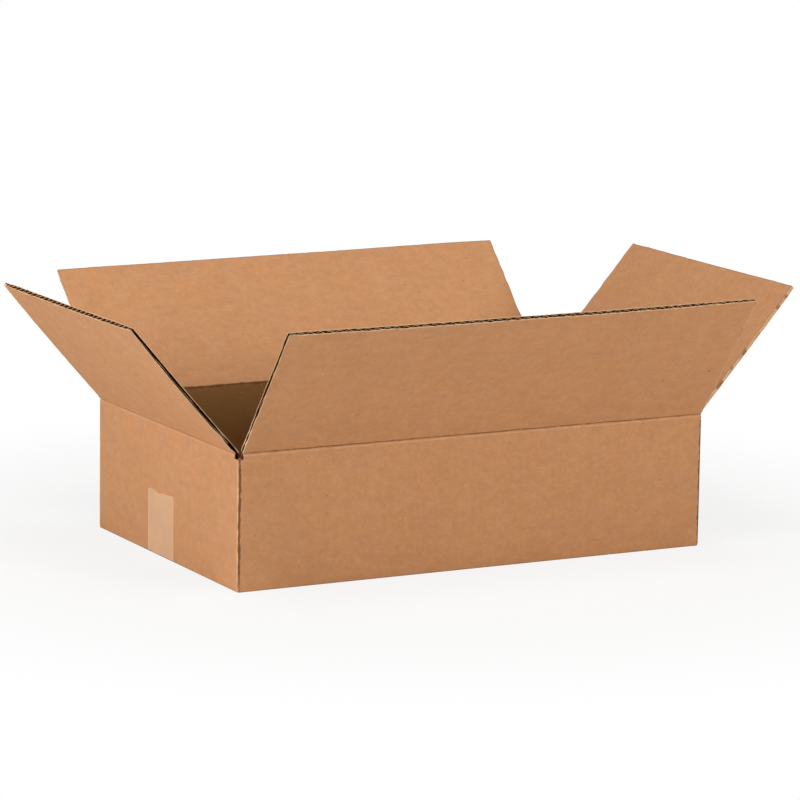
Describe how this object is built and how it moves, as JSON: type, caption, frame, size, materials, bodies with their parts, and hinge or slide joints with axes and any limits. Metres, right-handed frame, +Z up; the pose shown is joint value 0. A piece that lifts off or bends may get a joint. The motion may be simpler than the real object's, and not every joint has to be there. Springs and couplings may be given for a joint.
{
  "type": "open cardboard shipping box",
  "caption": "Shallow brown corrugated shipping box, set up with its bottom taped and its lid flaps hinged open along the wall creases.",
  "frame": {"origin": "middle of the box's underside, on the surface that it stands on", "axes": "+X along the long walls, to the right seen from the front; -Y is the front wall's outward side; +Z up, out of the open top"},
  "size_m": [0.5862, 0.4301, 0.2137],
  "materials": {
    "kraft_board": "matt, uncoated brown kraft liner",
    "packing_tape": "satin tan film tape"
  },
  "bodies": {
    "box": {"box_body": "kraft_board", "seam_tape": "packing_tape"},
    "front_lid": {"front_flap": "kraft_board"},
    "back_lid": {"back_flap": "kraft_board"},
    "left_lid": {"left_flap": "kraft_board"},
    "right_lid": {"right_flap": "kraft_board"}
  },
  "joints": [
    {"name": "front_crease", "type": "hinge", "parent": "box", "child": "front_lid", "pos_m": [0, -0.1298, 0.1103], "axis": [1, 0, 0], "range_deg": [-127.3, 102.7]},
    {"name": "back_crease", "type": "hinge", "parent": "box", "child": "back_lid", "pos_m": [0, 0.1298, 0.1103], "axis": [-1, 0, 0], "range_deg": [-135.7, 94.3]},
    {"name": "left_crease", "type": "hinge", "parent": "box", "child": "left_lid", "pos_m": [-0.207, 0, 0.1072], "axis": [0, -1, 0], "range_deg": [-130.4, 99.6]},
    {"name": "right_crease", "type": "hinge", "parent": "box", "child": "right_lid", "pos_m": [0.207, 0, 0.1072], "axis": [0, 1, 0], "range_deg": [-131.8, 98.2]}
  ]
}
